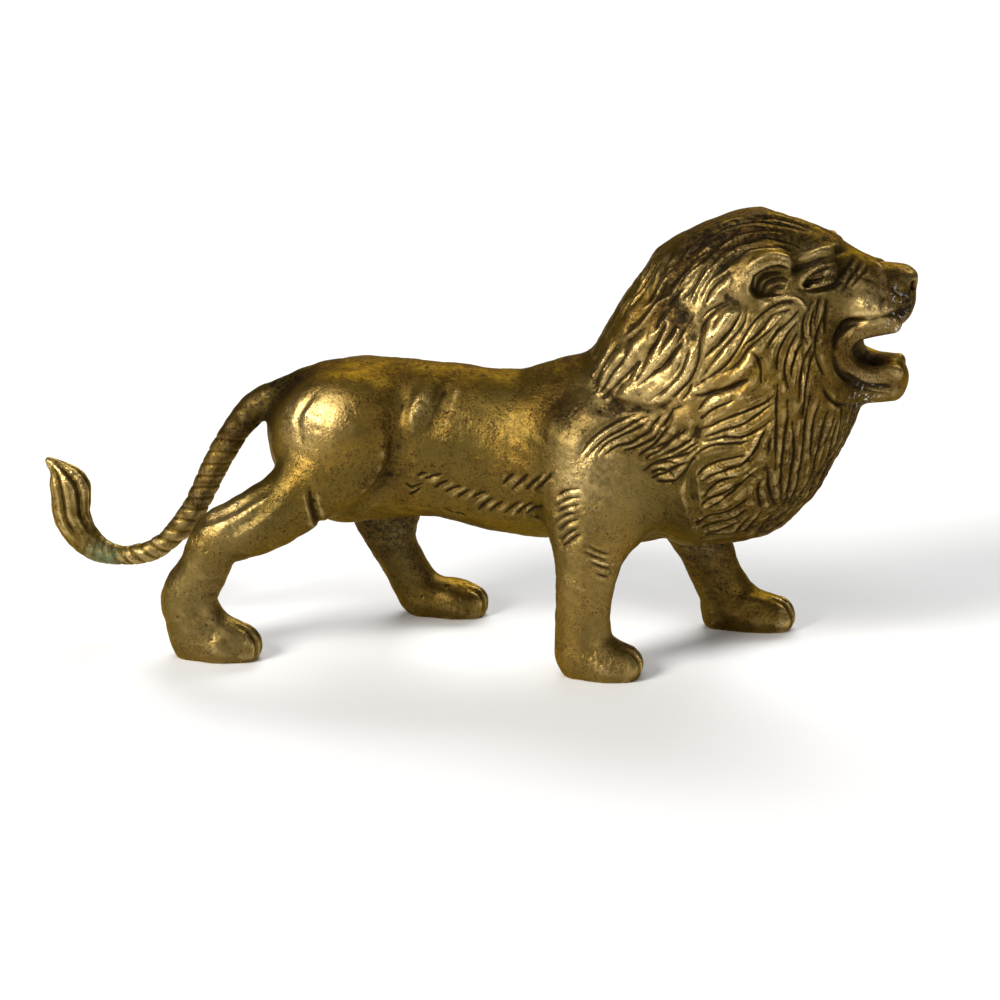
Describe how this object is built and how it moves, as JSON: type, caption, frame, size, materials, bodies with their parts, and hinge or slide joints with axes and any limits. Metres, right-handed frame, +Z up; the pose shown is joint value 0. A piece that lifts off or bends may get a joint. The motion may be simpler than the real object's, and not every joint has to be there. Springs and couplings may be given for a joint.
{
  "type": "lion figurine",
  "caption": "Cast brass figurine of a walking lion with open mouth, full mane and long tail curled up at its tuft, standing on four paws.",
  "frame": {"origin": "on the surface the lion stands on, in the middle of its outline", "axes": "+X forward along the back towards the nose, +Y to the lion's left, +Z up"},
  "size_m": [0.2488, 0.066, 0.1292],
  "materials": {
    "brass": "aged cast brass, dark patina in the recesses, rubbed bright on the high places"
  },
  "bodies": {
    "root": {"lion": "brass"}
  },
  "joints": []
}
